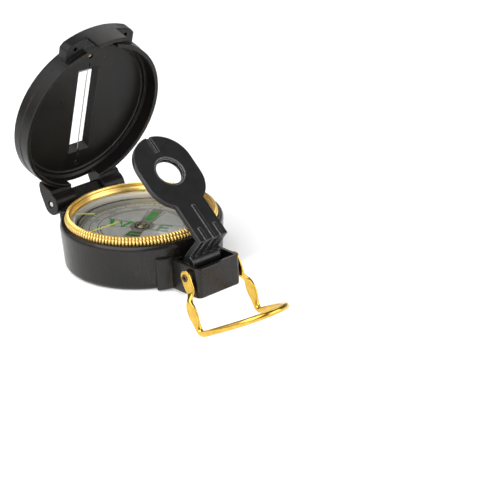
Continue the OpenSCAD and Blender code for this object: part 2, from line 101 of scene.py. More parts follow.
def camera():
    """The photograph's view: round from the front, above and slightly rolled, seen from far off."""
    azimuth, elevation, roll = (math.radians(a) for a in (-40.73, 23.11, -2.59))
    offset = Vector((-33.59, 6.49, 746.65))        # of the origin in the view: right, down, away
    back = Vector((math.sin(azimuth) * math.cos(elevation), -math.cos(azimuth) * math.cos(elevation),
                   math.sin(elevation)))
    level = Vector((math.cos(azimuth), math.sin(azimuth), 0))
    upright = back.cross(level)
    right = level * math.cos(roll) + upright * math.sin(roll)
    up = upright * math.cos(roll) - level * math.sin(roll)
    data = bpy.data.cameras.new("camera")
    data.sensor_width, data.lens = 36, 159.6
    data.clip_start, data.clip_end = 0.01, 20
    obj = bpy.data.objects.new("camera", data)
    where = (right * -offset.x + up * offset.y + back * offset.z) * MM
    obj.matrix_world = Matrix.Translation(where) @ Matrix((right, up, back)).transposed().to_4x4()
    scene.collection.objects.link(obj)
    scene.camera = obj


def softbox(name, where, size, power, aim=(0, 0, 10)):
    """A square area light at a place in mm, turned to face the compass."""
    data = bpy.data.lights.new(name, "AREA")
    data.size, data.energy = size * MM, power
    obj = bpy.data.objects.new(name, data)
    obj.location = Vector(where) * MM
    obj.rotation_euler = (Vector(where) - Vector(aim)).to_track_quat("Z", "Y").to_euler()
    scene.collection.objects.link(obj)


def studio():
    """A dim room over a white floor, with soft boxes."""
    world = bpy.data.worlds.new("studio")
    world.use_nodes = True
    tree = world.node_tree
    coords = tree.nodes.new("ShaderNodeTexCoord")
    split = tree.nodes.new("ShaderNodeSeparateXYZ")
    ramp = tree.nodes.new("ShaderNodeValToRGB")
    tree.links.new(coords.outputs["Generated"], split.inputs[0])
    tree.links.new(split.outputs["Z"], ramp.inputs[0])
    tree.links.new(ramp.outputs[0], tree.nodes["Background"].inputs["Color"])
    stops = ramp.color_ramp.elements
    stops[0].position, stops[0].color = 0.02, (0.5, 0.5, 0.5, 1)
    stops[1].position, stops[1].color = 0.3, (0.1, 0.1, 0.102, 1)
    scene.world = world
    softbox("key", (-420, -120, 460), 800, 6.0)
    softbox("fill", (300, -560, 200), 500, 2.2)
    softbox("back", (-350, 420, 500), 700, 1.6)
    softbox("side", (385, 315, 490), 500, 1.3)
    scene.view_settings.view_transform = "Standard"


def floor():
    """A pale table whose rounded front edge lets the thumb loop hang free."""
    edge_y, drop, curve, reach = -29.0, 60.0, 4.0, 1500.0
    profile = [(reach, 0.0)] + arc((edge_y + curve, -curve), curve, 90, 180, 10)
    profile += [(edge_y, curve - drop)] + arc((edge_y - curve, curve - drop), curve, 0, -90, 10)
    profile += [(-reach, -drop)]
    bm = bmesh.new()
    rows = [[bm.verts.new((x, y, z)) for y, z in profile] for x in (-reach, reach)]
    for i in range(len(profile) - 1):
        bm.faces.new((rows[0][i], rows[0][i + 1], rows[1][i + 1], rows[1][i]))
    obj = drawn("floor", bm)
    obj.data.transform(Matrix.Scale(MM, 4))
    obj.data.shade_smooth()
    made, tree, out, coords = shader("floor_white", (0.92, 0.92, 0.92), 0.9, Emission_Strength=0.2)
    out.inputs["Emission Color"].default_value = (1, 1, 1, 1)
    tone = spread(tree, noise(tree, coords, 0.02, 2.0), 0, 1)
    tree.links.new(blended(tree, tone, (0.94, 0.94, 0.94), (0.9, 0.9, 0.9)), out.inputs["Base Color"])
    obj.data.materials.append(made)


# ---------------------------------------------------------------- materials

def shader(name, color, roughness, metallic=0.0, **sockets):
    """A material with a Principled shader and texture coordinates fixed to the piece."""
    made = bpy.data.materials.new(name)
    made.use_nodes = True
    tree = made.node_tree
    out = tree.nodes["Principled BSDF"]
    out.inputs["Base Color"].default_value = (*color, 1)
    out.inputs["Roughness"].default_value = roughness
    out.inputs["Metallic"].default_value = metallic
    for socket, value in sockets.items():
        out.inputs[socket.replace("_", " ")].default_value = value
    coords = tree.nodes.new("ShaderNodeTexCoord")
    return made, tree, out, coords.outputs["Object"]


def noise(tree, coords, per_mm, detail=3.0, stretch=None):
    """Noise with so many features per millimetre, drawn out along an axis if stretch is given."""
    node = tree.nodes.new("ShaderNodeTexNoise")
    node.inputs["Scale"].default_value = per_mm / MM
    node.inputs["Detail"].default_value = detail
    if stretch:
        scale = tree.nodes.new("ShaderNodeMapping")
        scale.inputs["Scale"].default_value = stretch
        tree.links.new(coords, scale.inputs[0])
        coords = scale.outputs[0]
    tree.links.new(coords, node.inputs["Vector"])
    return node.outputs["Fac"]


def spread(tree, value, low, high, from_low=0.3, from_high=0.7):
    """A 0-1 value mapped to a range."""
    node = tree.nodes.new("ShaderNodeMapRange")
    for socket, number in zip(node.inputs[1:5], (from_low, from_high, low, high)):
        socket.default_value = number
    tree.links.new(value, node.inputs[0])
    return node.outputs[0]


def blended(tree, factor, first, second):
    """A colour between two, each given as a colour or a socket."""
    node = tree.nodes.new("ShaderNodeMix")
    node.data_type = "RGBA"
    tree.links.new(factor, node.inputs[0])
    for socket, value in ((node.inputs[6], first), (node.inputs[7], second)):
        if isinstance(value, bpy.types.NodeSocket):
            tree.links.new(value, socket)
        else:
            socket.default_value = (*value, 1)
    return node.outputs[2]


def bumped(tree, out, height, depth):
    """Bump of a depth in mm on the shader, on top of any that is there already."""
    node = tree.nodes.new("ShaderNodeBump")
    node.inputs["Distance"].default_value = depth * MM
    node.inputs["Strength"].default_value = 1.0
    if out.inputs["Normal"].is_linked:
        tree.links.new(out.inputs["Normal"].links[0].from_socket, node.inputs["Normal"])
    tree.links.new(height, node.inputs["Height"])
    tree.links.new(node.outputs[0], out.inputs["Normal"])


def edges(tree, radius):
    """1 along convex and concave edges, 0 elsewhere: where the rounded normal leaves the true one."""
    bevel = tree.nodes.new("ShaderNodeBevel")
    bevel.samples = 6
    bevel.inputs["Radius"].default_value = radius * MM
    true = tree.nodes.new("ShaderNodeNewGeometry")
    dot = tree.nodes.new("ShaderNodeVectorMath")
    dot.operation = "DOT_PRODUCT"
    tree.links.new(bevel.outputs[0], dot.inputs[0])
    tree.links.new(true.outputs["Normal"], dot.inputs[1])
    return spread(tree, dot.outputs["Value"], 1.0, 0.0, 0.9, 0.995)


def plastic(name, color, roughness, grain, tint=None, wear_and_highlight=None, streaks=0.0, pebbles=None,
            shine=0.38):
    """Moulded plastic: a fine surface grain, a slow change of gloss and colour, and optional flow
    streaks, pebbling and lighter edges, which are partly wear and partly a painted edge highlight.
    grain and pebbles are (per mm, depth in mm)."""
    made, tree, out, coords = shader(name, color, roughness, Specular_IOR_Level=shine)
    slow = noise(tree, coords, 0.12, 2.0)
    gloss = noise(tree, coords, 0.5, 4.0, (1, 1, 0.2) if streaks else None)
    tree.links.new(spread(tree, gloss, roughness * 0.82, roughness * 1.2), out.inputs["Roughness"])
    shade = blended(tree, spread(tree, slow, 0, 1), color, tint or [c * 0.75 for c in color])
    # lighter edges: partly wear, partly a painted edge highlight
    if wear_and_highlight:
        rubbed_and_lit = tree.nodes.new("ShaderNodeMath")
        rubbed_and_lit.operation = "MULTIPLY"
        tree.links.new(edges(tree, wear_and_highlight[1]), rubbed_and_lit.inputs[0])
        patches = spread(tree, noise(tree, coords, 1.6, 4.0), 0.35, 1.0, 0.35, 0.6)
        tree.links.new(patches, rubbed_and_lit.inputs[1])
        shade = blended(tree, rubbed_and_lit.outputs[0], shade, wear_and_highlight[0])
    tree.links.new(shade, out.inputs["Base Color"])
    bumped(tree, out, noise(tree, coords, grain[0], 2.0), grain[1])
    if streaks:
        bumped(tree, out, noise(tree, coords, 0.8, 2.0, (1, 1, 0.12)), streaks)
    if pebbles:
        cells = tree.nodes.new("ShaderNodeTexVoronoi")
        cells.feature = "SMOOTH_F1"
        cells.inputs["Scale"].default_value = pebbles[0] / MM
        tree.links.new(coords, cells.inputs["Vector"])
        bumped(tree, out, cells.outputs["Distance"], pebbles[1])
    return made


def metal(name, color, dark, roughness, grain, brushed=None):
    """Metal with a slow change of tone, patchy gloss and a fine grain, which brushed draws out.
    grain is (per mm, depth in mm)."""
    made, tree, out, coords = shader(name, color, roughness, metallic=1.0)
    tone = spread(tree, noise(tree, coords, 0.35, 4.0), 0, 1)
    tree.links.new(blended(tree, tone, color, dark), out.inputs["Base Color"])
    gloss = noise(tree, coords, 1.3, 3.0)
    tree.links.new(spread(tree, gloss, roughness * 0.88, roughness * 1.15), out.inputs["Roughness"])
    bumped(tree, out, noise(tree, coords, grain[0], 3.0, brushed), grain[1])
    return made


def knurled(made):
    """Darkens the bottoms of the bezel's knurl with painted shade, from one radius to another."""
    unshaded_r, shaded_r = 25.45, 25.7
    tree = made.node_tree
    out = tree.nodes["Principled BSDF"]
    coords = tree.nodes["Texture Coordinate"].outputs["Object"]
    split = tree.nodes.new("ShaderNodeSeparateXYZ")
    tree.links.new(coords, split.inputs[0])

    def step(operation, first, second=None):
        """One step of arithmetic on sockets or numbers."""
        node = tree.nodes.new("ShaderNodeMath")
        node.operation = operation
        for socket, value in zip(node.inputs, (first, second)):
            if isinstance(value, (int, float)):
                socket.default_value = value
            elif value:
                tree.links.new(value, socket)
        return node.outputs[0]

    bearing = step("ARCTAN2", split.outputs["Y"], split.outputs["X"])
    ridge = step("ABSOLUTE", step("COSINE", step("MULTIPLY", bearing, TEETH / 2)))
    square = step("ADD", step("MULTIPLY", split.outputs["X"], split.outputs["X"]),
                  step("MULTIPLY", split.outputs["Y"], split.outputs["Y"]))
    rim = spread(tree, step("SQRT", square), 0.0, 1.0, unshaded_r * MM, shaded_r * MM)
    groove = step("MULTIPLY", rim, spread(tree, ridge, 1.0, 0.0, 0.18, 0.75))
    bright = out.inputs["Base Color"].links[0].from_socket
    gloss = out.inputs["Roughness"].links[0].from_socket
    # painted shade: the knurl's grooves are blended towards this dark brown
    tree.links.new(blended(tree, groove, bright, (0.3, 0.14, 0.03)), out.inputs["Base Color"])
    tree.links.new(step("MAXIMUM", gloss, step("MULTIPLY", groove, 0.5)), out.inputs["Roughness"])
    return made


def clear_pane(name, tint, dust):
    """A thin clear window: light passes straight through it, with a reflection that grows at a
    shallow angle and faint smears."""
    made, tree, out, coords = shader(name, tint, 0.05)
    see = tree.nodes.new("ShaderNodeBsdfTransparent")
    see.inputs["Color"].default_value = (*tint, 1)
    shine = tree.nodes.new("ShaderNodeBsdfGlossy")
    shine.inputs["Roughness"].default_value = 0.04
    facing = tree.nodes.new("ShaderNodeLayerWeight")
    steep = tree.nodes.new("ShaderNodeMath")
    steep.operation = "POWER"
    steep.inputs[1].default_value = 5
    share = tree.nodes.new("ShaderNodeMath")
    share.operation = "ADD"
    share.use_clamp = True
    mix = tree.nodes.new("ShaderNodeMixShader")
    smear = spread(tree, noise(tree, coords, 0.25, 2.0), 0.03, 0.03 + dust, 0.45, 0.8)
    tree.links.new(facing.outputs["Facing"], steep.inputs[0])
    tree.links.new(steep.outputs[0], share.inputs[0])
    tree.links.new(smear, share.inputs[1])
    tree.links.new(share.outputs[0], mix.inputs[0])
    tree.links.new(see.outputs[0], mix.inputs[1])
    tree.links.new(shine.outputs[0], mix.inputs[2])
    tree.links.new(mix.outputs[0], tree.nodes["Material Output"].inputs["Surface"])
    tree.nodes.remove(out)
    return made


def palette():
    """Every material of the compass by name."""
    black = (0.006, 0.0058, 0.0058)
    return {
        "case": plastic("case_plastic", black, 0.26, (5.0, 0.004), tint=(0.011, 0.008, 0.005),
                        wear_and_highlight=((0.05, 0.048, 0.045), 0.25), streaks=0.012),
        "cover": plastic("cover_plastic", (0.0065, 0.0065, 0.007), 0.33, (4.0, 0.006),
                         tint=(0.009, 0.007, 0.0055), wear_and_highlight=((0.08, 0.078, 0.075), 0.3), streaks=0.01,
                         shine=0.22),
        "cover_top": plastic("cover_pebbled", (0.016, 0.016, 0.0165), 0.45, (3.0, 0.02),
                             wear_and_highlight=((0.05, 0.05, 0.05), 0.2), pebbles=(1.8, 0.15)),
        "eyepiece": plastic("eyepiece_plastic", (0.0105, 0.0105, 0.011), 0.36, (5.0, 0.01),
                            wear_and_highlight=((0.4, 0.4, 0.41), 0.26), shine=0.48),
        # the bezel's brass, with painted shade in the bottoms of the knurl
        "brass": knurled(metal("bezel_brass", (0.93, 0.7, 0.25), (0.88, 0.58, 0.16), 0.32,
                               (0.6, 0.001))),
        "gold": metal("loop_gold", (0.74, 0.48, 0.09), (0.62, 0.38, 0.06), 0.22, (0.5, 0.0015)),
        "old_brass": metal("screw_brass", (0.55, 0.44, 0.24), (0.3, 0.22, 0.12), 0.34, (4.0, 0.02)),
        "bronze": metal("rivet_bronze", (0.2, 0.15, 0.1), (0.1, 0.075, 0.05), 0.4, (4.0, 0.03)),
        "steel": metal("pin_steel", (0.72, 0.72, 0.74), (0.5, 0.5, 0.52), 0.22, (6.0, 0.004),
                       brushed=(0.1, 1, 1)),
        "cup": metal("cup_alloy", (0.86, 0.85, 0.84), (0.74, 0.73, 0.72), 0.5, (2.0, 0.01)),
        "hub": metal("hub_metal", (0.8, 0.75, 0.66), (0.6, 0.54, 0.44), 0.32, (3.0, 0.004)),
        "clear": clear_pane("crystal_clear", (0.97, 0.975, 0.97), 0.03),
        "lens": clear_pane("lens_clear", (0.98, 0.99, 0.985), 0.01),
        "card": plastic("dial_card", (0.92, 0.9, 0.87), 0.5, (2.0, 0.01), tint=(0.8, 0.77, 0.73)),
        "ink": plastic("dial_ink", (0.07, 0.067, 0.065), 0.5, (4.0, 0.005), tint=(0.13, 0.12, 0.115)),
        # painted shade, laid on the dial card
        "painted_shade": plastic("dial_shade", (0.36, 0.33, 0.27), 0.5, (2.0, 0.01), tint=(0.52, 0.48, 0.42)),
        "green": plastic("green_paint", (0.09, 0.62, 0.06), 0.55, (3.0, 0.03), tint=(0.04, 0.4, 0.04)),
        # a darker copy of the green paint for the south letter: painted shade
        "dark_green": plastic("shaded_green_paint", (0.05, 0.15, 0.03), 0.55, (3.0, 0.03),
                              tint=(0.1, 0.26, 0.05)),
        "faded_green": plastic("faded_green_paint", (0.3, 0.45, 0.26), 0.55, (3.0, 0.03),
                               tint=(0.16, 0.32, 0.13)),
        "yellow": plastic("yellow_paint", (0.62, 0.6, 0.1), 0.5, (3.0, 0.02), tint=(0.5, 0.46, 0.1)),
        "rubber": plastic("rubber", (0.02, 0.02, 0.02), 0.7, (3.0, 0.02)),
        "jewel": plastic("jewel", (0.4, 0.03, 0.08), 0.08, (3.0, 0.002)),
    }


# ---------------------------------------------------------------- shapes

def arc(centre, radius, start, end, steps):
    """Points along an arc in a plane, both ends included; an ellipse's has two radii."""
    wide, high = radius if isinstance(radius, tuple) else (radius, radius)
    angles = [math.radians(start + (end - start) * i / steps) for i in range(steps + 1)]
    return [(centre[0] + wide * math.cos(a), centre[1] + high * math.sin(a)) for a in angles]


def drawn(name, bm):
    """An object from a bmesh, with its normals facing out."""
    bmesh.ops.remove_doubles(bm, verts=bm.verts, dist=1e-5)
    bmesh.ops.recalc_face_normals(bm, faces=bm.faces)
    mesh = bpy.data.meshes.new(name)
    bm.to_mesh(mesh)
    bm.free()
    obj = bpy.data.objects.new(name, mesh)
    scene.collection.objects.link(obj)
    return obj


def skinned(bm, rings, closed=False):
    """Faces between neighbouring rings of points, and caps on the ends if they aren't joined."""
    for one, two in zip(rings, rings[1:] + rings[:1] if closed else rings[1:]):
        for k in range(len(one)):
            n = (k + 1) % len(one)
            bm.faces.new((one[k], one[n], two[n], two[k]))
    if not closed:
        bm.faces.new(rings[0])
        bm.faces.new(list(reversed(rings[-1])))


def lathe(profile, start=0.0, end=360.0, steps=192):
    """A closed outline of (radius, z) points turned about Z, right round or between two angles."""
    full = abs(end - start) >= 360
    bm = bmesh.new()
    rings = []
    for i in range(steps if full else steps + 1):
        a = math.radians(start + (end - start) * i / steps)
        rings.append([bm.verts.new((r * math.cos(a), r * math.sin(a), z)) for r, z in profile])
    skinned(bm, rings, full)
    bmesh.ops.remove_doubles(bm, verts=bm.verts, dist=1e-5)
    bmesh.ops.dissolve_degenerate(bm, edges=bm.edges, dist=1e-6)
    return drawn("lathe", bm)


def prism(outline, low, high, axis="Z"):
    """A closed outline in the plane of the other two axes, extruded along an axis."""
    spot = {"X": lambda p, h: (h, *p), "Y": lambda p, h: (p[0], h, p[1]), "Z": lambda p, h: (*p, h)}
    bm = bmesh.new()
    bottom, top = ([bm.verts.new(spot[axis](p, h)) for p in outline] for h in (low, high))
    bm.faces.new(list(reversed(bottom)))
    bm.faces.new(top)
    for i in range(len(outline)):
        j = (i + 1) % len(outline)
        bm.faces.new((bottom[i], bottom[j], top[j], top[i]))
    return drawn("prism", bm)


def block(x, y, z):
    """A box between two corners, given as (low, high) along each axis."""
    return prism([(x[0], y[0]), (x[1], y[0]), (x[1], y[1]), (x[0], y[1])], *z)


def rod(x, y, z, radius, steps=64):
    """A cylinder along X."""
    return prism(arc((y, z), radius, 0, 360 * (1 - 1 / steps), steps - 1), *x, axis="X")


def plug(radius, low, high, first=0):
    """A cylinder along Z, with its first edge at an angle."""
    return lathe([(0, low), (radius, low), (radius, high), (0, high)], first, first + 360, 32)


def moved(obj, x=0.0, y=0.0):
    """Shifts the mesh itself."""
    obj.data.transform(Matrix.Translation((x, y, 0)))
    return obj


def evaluated_mesh(obj):
    """A new mesh of the object as its modifiers, or its text, leave it."""
    graph = bpy.context.evaluated_depsgraph_get()
    return bpy.data.meshes.new_from_object(obj.evaluated_get(graph))


def applied(obj):
    """Bakes the modifiers into the mesh."""
    old = obj.data
    obj.data = evaluated_mesh(obj)
    obj.modifiers.clear()
    bpy.data.meshes.remove(old)
    return obj


def rounded(obj, width, segments=3, angle=32):
    """Rounds the edges that are sharper than an angle."""
    mod = obj.modifiers.new("round", "BEVEL")
    mod.width, mod.segments, mod.limit_method = width, segments, "ANGLE"
    mod.angle_limit = math.radians(angle)
    mod.use_clamp_overlap = True
    return applied(obj)


def combined(obj, operation, *others):
    """Joins other solids to this one (UNION), cuts them out (DIFFERENCE) or keeps the overlap."""
    for other in others:
        mod = obj.modifiers.new("boolean", "BOOLEAN")
        mod.object, mod.operation, mod.solver = other, operation, "EXACT"
        applied(obj)
        bpy.data.objects.remove(other)
    return obj


def cleaned(obj):
    """Takes out the slivers that rounding and cutting leave."""
    sliver = 0.0005
    bm = bmesh.new()
    bm.from_mesh(obj.data)
    bmesh.ops.remove_doubles(bm, verts=bm.verts, dist=sliver)
    bmesh.ops.dissolve_degenerate(bm, edges=bm.edges, dist=sliver)
    bm.to_mesh(obj.data)
    bm.free()


def turn(joint, degrees):
    """The turn about a joint's axis line through its pivot, in millimetres."""
    at = Matrix.Translation(Vector(JOINTS[joint]["pos_m"]) / MM)
    return at @ Matrix.Rotation(math.radians(degrees), 4, "X") @ at.inverted()


def placed(obj, name, body, materials, nodes=(), where=None, crease=32):
    """Names a finished piece, moves it to rest in metres, smooths it and hangs it on its body."""
    obj.name = obj.data.name = name
    if where:
        obj.data.transform(where)
    cleaned(obj)
    obj.data.transform(Matrix.Scale(MM, 4))
    obj.data.materials.clear()
    for made in materials if isinstance(materials, (list, tuple)) else [materials]:
        obj.data.materials.append(made)
    obj.data.shade_smooth()
    obj.data.set_sharp_from_angle(angle=math.radians(crease))
    weigh = obj.modifiers.new("even_normals", "WEIGHTED_NORMAL")
    weigh.keep_sharp = True
    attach(obj, body)
    if nodes:
        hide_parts(*nodes)
    return obj


# ---------------------------------------------------------------- case

def case(paint):
    """The moulded case: its wall, what stands on it, and the recesses for the arms and eyepiece."""
    wall = lathe(
        [(0, 0)] + arc((FOOT_R - FOOT_ROUND, FOOT_ROUND), FOOT_ROUND, -90, 0, 8)
        + arc((RIM_FLAT_R, CASE_H - RIM_ROUND[1]), RIM_ROUND, 0, 90, 10)
        + [(SEAT_R + RIM_BREAK, CASE_H), (SEAT_R, CASE_H - RIM_BREAK), (SEAT_R, SEAT_Z),
           (CAVITY_R, SEAT_Z), (CAVITY_R, FLOOR), (0, FLOOR)])
    body = combined(wall, "UNION", housing(), *pads(), collar(), knuckle())
    body = combined(body, "DIFFERENCE", *arm_recesses(), pocket())
    placed(body, "case_shell", "case", paint["case"], ["case"])


def housing():
    """The box at the front that holds the eyepiece's foot."""
    outline = [(BOX_HALF, -ROOT_R), (-BOX_HALF, -ROOT_R)]
    outline += arc((BOX_CORNER - BOX_HALF, BOX_CORNER - BOX_FRONT), BOX_CORNER, 180, 270, 10)
    outline += arc((BOX_HALF - BOX_CORNER, BOX_CORNER - BOX_FRONT), BOX_CORNER, 270, 360, 10)
    return rounded(prism(outline, 0, BOX_H), 0.45, 4)


def pads():
    """The flat pads on the wall beside the housing."""
    low = 0.3
    section = [(ROOT_R, low), (PAD_R, low), (PAD_R, PAD_H), (ROOT_R, PAD_H)]
    return [rounded(lathe(section, middle - PAD_SWEEP, middle + PAD_SWEEP, 12), 0.45)
            for middle in (-90 - PAD_BEARING, -90 + PAD_BEARING)]


def collar():
    """The thicker band of wall that carries the hinge."""
    reach, inner, slope = math.degrees(math.asin(COLLAR_HALF / COLLAR_R)), ROOT_R + 1.2, 1.5
    section = [(inner, COLLAR_Z - slope), (CASE_R - 0.5, COLLAR_Z - slope), (COLLAR_R, COLLAR_Z),
               (COLLAR_R, CASE_H), (inner, CASE_H)]
    return rounded(lathe(section, 90 - reach, 90 + reach, 48), 0.4)


def knuckle():
    """The case's middle barrel of the hinge."""
    foot_y, top_y = 27.6, 29.5
    outline = arc((HINGE_Y, HINGE_Z), KNUCKLE_R, 92, -75, 24)
    outline += [(29.4, COLLAR_Z), (foot_y, COLLAR_Z), (foot_y, CASE_H), (top_y, CASE_H + 0.1)]
    return rounded(prism(outline, -KNUCKLE_HALF, KNUCKLE_HALF, axis="X"), 0.3)


def arm_recesses():
    """Room for the cover's arms, which turn about the hinge on both sides of the knuckle."""
    gap, middle, half = 0.35, (ARM_HALF + KNUCKLE_HALF) / 2, 4.8
    return [rod((x - half, x + half), HINGE_Y, HINGE_Z, ARM_R + gap) for x in (-middle, middle)]


def pocket():
    """The hollow of the housing, open at the top."""
    half, back, front = BOX_HALF - BOX_WALL, 0.7 - CASE_R, BOX_WALL - BOX_FRONT
    outline = [(half, back), (-half, back), (-half, front), (half, front)]
    return rounded(prism(outline, POCKET_FLOOR, CASE_H), 0.5)


def pin_supports(paint):
    """Inner cheeks of the housing that hold the eyepiece's pin."""
    radius, gap = 1.3, 0.3
    for side, label in ((-1, "left"), (1, "right")):
        x = sorted((side * (EYE_STEM + gap), side * (BOX_HALF - gap)))
        boss = rounded(rod(x, EYE_Y, EYE_Z, radius, 40), 0.15, 2)
        placed(boss, f"pin_boss_{label}", "case", paint["case"])


# ---------------------------------------------------------------- cover

def cover(paint):
    """The lid with its tongue, apron and hinge arms, and everything that is cut through it."""
    body = combined(lid(), "UNION", tongue(), apron(), *hinge_arms())
    body = combined(body, "DIFFERENCE", slot_cutter(), *cover_reliefs(), *cover_holes())
    opened = turn("cover_hinge", -LID_OPEN)
    made = placed(body, "cover_shell", "cover", [paint["cover"], paint["cover_top"]],
                  ["cover"], opened)
    up = (opened.to_3x3() @ Vector((0, 0, 1))).normalized()
    face = (opened @ Vector((0, 0, LID_TOP))) * MM
    for polygon in made.data.polygons:             # only the flat top is pebbled
        if polygon.normal.dot(up) > 0.99 and abs((polygon.center - face).dot(up)) < 0.05 * MM:
            polygon.material_index = 1


def lid():
    """The disc and its skirt, with a step outside and a ledge inside."""
    edge, inset, fillet, bevel = 0.2, 0.15, 0.5, 0.6
    return lathe(
        [(LID_IN_R + edge, LID_LOW), (LID_R - 2 * edge, LID_LOW), (LID_R - edge, LID_LOW + edge),
         (LID_R - edge, LID_STEP_Z), (LID_R, LID_STEP_Z + edge)]
        + arc((LID_R - 1.0, LID_TOP - 1.25), 1.0, 0, 80, 6)
        + [(LID_FACE_R + inset, LID_TOP - edge), (LID_FACE_R, LID_TOP), (0, LID_TOP), (0, LID_UNDER),
           (LEDGE_R - fillet, LID_UNDER)]
        + arc((LEDGE_R - fillet, LID_UNDER - fillet), fillet, 90, 0, 4)
        + [(LEDGE_R, LEDGE_Z + inset), (LEDGE_R + inset, LEDGE_Z), (LID_IN_R - bevel, LEDGE_Z),
           (LID_IN_R, LEDGE_Z - bevel), (LID_IN_R, LID_LOW + edge)])


def tongue():
    """The lip that lifts the cover, with cut corners."""
    flat = TONGUE_HALF - TONGUE_CORNER
    rim = math.sqrt(TONGUE_R ** 2 - flat ** 2)
    reach = math.degrees(math.asin(flat / TONGUE_R))
    side_y, root_half, root_y = -24.6, 4.5, -28.2
    outline = arc((0, 0), TONGUE_R, -90 - reach, -90 + reach, 24)
    outline += [(TONGUE_HALF, TONGUE_CORNER - rim), (TONGUE_HALF, side_y), (root_half, root_y),
                (-root_half, root_y), (-TONGUE_HALF, side_y), (-TONGUE_HALF, TONGUE_CORNER - rim)]
    return rounded(prism(outline, *TONGUE_Z), 0.4)


def apron():
    """The curved tab under the tongue that shuts the housing's gap."""
    reach, high = math.degrees(math.asin(APRON_HALF / TONGUE_R)), TONGUE_Z[0] + 1
    section = [(TONGUE_R - APRON_T, APRON_LOW), (TONGUE_R, APRON_LOW), (TONGUE_R, high),
               (TONGUE_R - APRON_T, high)]
    return rounded(lathe(section, -90 - reach, -90 + reach, 12), 0.3)


def hinge_arms():
    """The two arms that wrap the hinge pin beside the knuckle."""
    root_y, crown_z, gap = 26.9, 24.0, 0.25
    outline = [(root_y, LID_LOW + 0.6), (root_y, crown_z), (28.4, crown_z), (30.6, crown_z - 1)]
    outline += arc((HINGE_Y, HINGE_Z), ARM_R, 42, -180, 40)
    spans = ((-ARM_HALF, -KNUCKLE_HALF - gap), (KNUCKLE_HALF + gap, ARM_HALF))
    return [rounded(prism(outline, *span, axis="X"), 0.3) for span in spans]


def cover_reliefs():
    """Room for the knuckle, a groove for the sighting wire, and the eyepiece's passage."""
    gap = 0.3
    passage = lathe([(0, 10), (TONGUE_R - APRON_T, 10), (TONGUE_R - APRON_T, 22.2), (0, 22.2)])
    return [
        block((-KNUCKLE_HALF - gap, KNUCKLE_HALF + gap), (25.8, 38), (LID_LOW - 1, 21.6)),
        block((-gap, gap), WIRE_HOLE_Y, (LID_UNDER - 1, WIRE_Z + gap)),
        combined(passage, "INTERSECT", block((-EYE_STEM - 0.5, EYE_STEM + 0.5), (-34, -25), (9, 23))),
    ]


def cover_holes():
    """Holes for the wire and its screws, blind holes in the tongue, and countersinks for the pin."""
    low, high = 20, 30
    holes = [moved(plug(SCREW_HOLE_R, low, high, 4), y=y) for y in SCREW_Y]
    holes += [moved(plug(WIRE_HOLE_R, low, high, 4), y=y) for y in WIRE_HOLE_Y]
    for side in (-1, 1):
        x, y = TONGUE_HOLE
        holes.append(moved(plug(TONGUE_HOLE_R, 17, 21.2), side * x, y))
        reach = sorted((side * (ARM_HALF - 0.5), side * (ARM_HALF + 1)))
        holes.append(rod(reach, HINGE_Y, HINGE_Z, 1.6, 40))
    return holes


def slot_cutter():
    """The sighting slot: narrow at the top face with a fine chamfer, flared towards the underside."""
    edge = 0.12
    levels = ((LID_UNDER - 0.3, SLOT_FLARE), (LID_UNDER, SLOT_FLARE), (LID_TOP - 0.2, (0, 0)),
              (LID_TOP - edge, (0, 0)), (LID_TOP + edge, (2 * edge, 2 * edge)))
    bm = bmesh.new()
    loops = []
    for z, (wide, long) in levels:
        x, near, far = SLOT_HALF + wide, SLOT_Y[0] - long, SLOT_Y[1] + long
        corners = ((-x, near, z), (x, near, z), (x, far, z), (-x, far, z))
        loops.append([bm.verts.new(p) for p in corners])
    skinned(bm, loops)
    return drawn("slot", bm)


def wire_screws(paint):
    """Two slotted cheese-head screws that clamp the sighting wire's ends."""
    shank_r, tip_z, head_r, edge = 0.75, 23.3, 2.1, 0.15
    outline = [(0, tip_z), (shank_r - edge, tip_z), (shank_r, tip_z + edge), (shank_r, LID_TOP)]
    outline += [(head_r - edge, LID_TOP), (head_r, LID_TOP + 0.12)]
    outline += arc((head_r - 0.35, LID_TOP + 0.35), 0.35, 0, 80, 5) + [(0, LID_TOP + 0.74)]
    for y, label, angle in ((SCREW_Y[0], "front", 35), (SCREW_Y[1], "rear", -20)):
        slit = block((-3, 3), (-0.32, 0.32), (LID_TOP + 0.3, LID_TOP + 2))
        screw = rounded(combined(lathe(outline, steps=48), "DIFFERENCE", slit), 0.06, 2)
        spot = Matrix.Translation((0, y, 0)) @ Matrix.Rotation(math.radians(angle), 4, "Z")
        placed(screw, f"wire_screw_{label}", "cover", paint["old_brass"],
               ["wire_screws"], turn("cover_hinge", -LID_OPEN) @ spot)


# ---------------------------------------------------------------- eyepiece

def eyepiece(paint):
    """The folding eyepiece: plate, heel, barrel and ribs, cut for the lens and the rear sight."""
    heel_z = (EYE_Z, PLATE_Z[1] - 0.3)
    heel = rounded(block((-EYE_STEM, EYE_STEM), (HEEL_Y, HEEL_Y + HEEL_T), heel_z), 0.2, 2)
    barrel = rounded(rod((-EYE_STEM, EYE_STEM), EYE_Y, EYE_Z, BARREL_R, 60), 0.25, 2)
    body = combined(eyepiece_plate(), "UNION", heel, barrel, *ribs())
    body = combined(body, "DIFFERENCE", lens_hole(), sight_groove())
    placed(body, "eyepiece_plate", "eyepiece", paint["eyepiece"],
           ["eyepiece"], turn("eyepiece_hinge", EYE_UP))


def eyepiece_plate():
    """A stem that widens into a long round head."""
    meet = math.degrees(math.asin(EYE_STEM / EYE_HEAD_R))
    outline = [(-EYE_STEM, HEEL_Y), (EYE_STEM, HEEL_Y)]
    outline += arc((0, HEAD_NEAR_Y), EYE_HEAD_R, meet - 90, 0, 18)
    outline += arc((0, HEAD_FAR_Y), EYE_HEAD_R, 0, 180, 40)
    outline += arc((0, HEAD_NEAR_Y), EYE_HEAD_R, 180, 270 - meet, 18)
    return rounded(prism(outline, *PLATE_Z), 0.22)


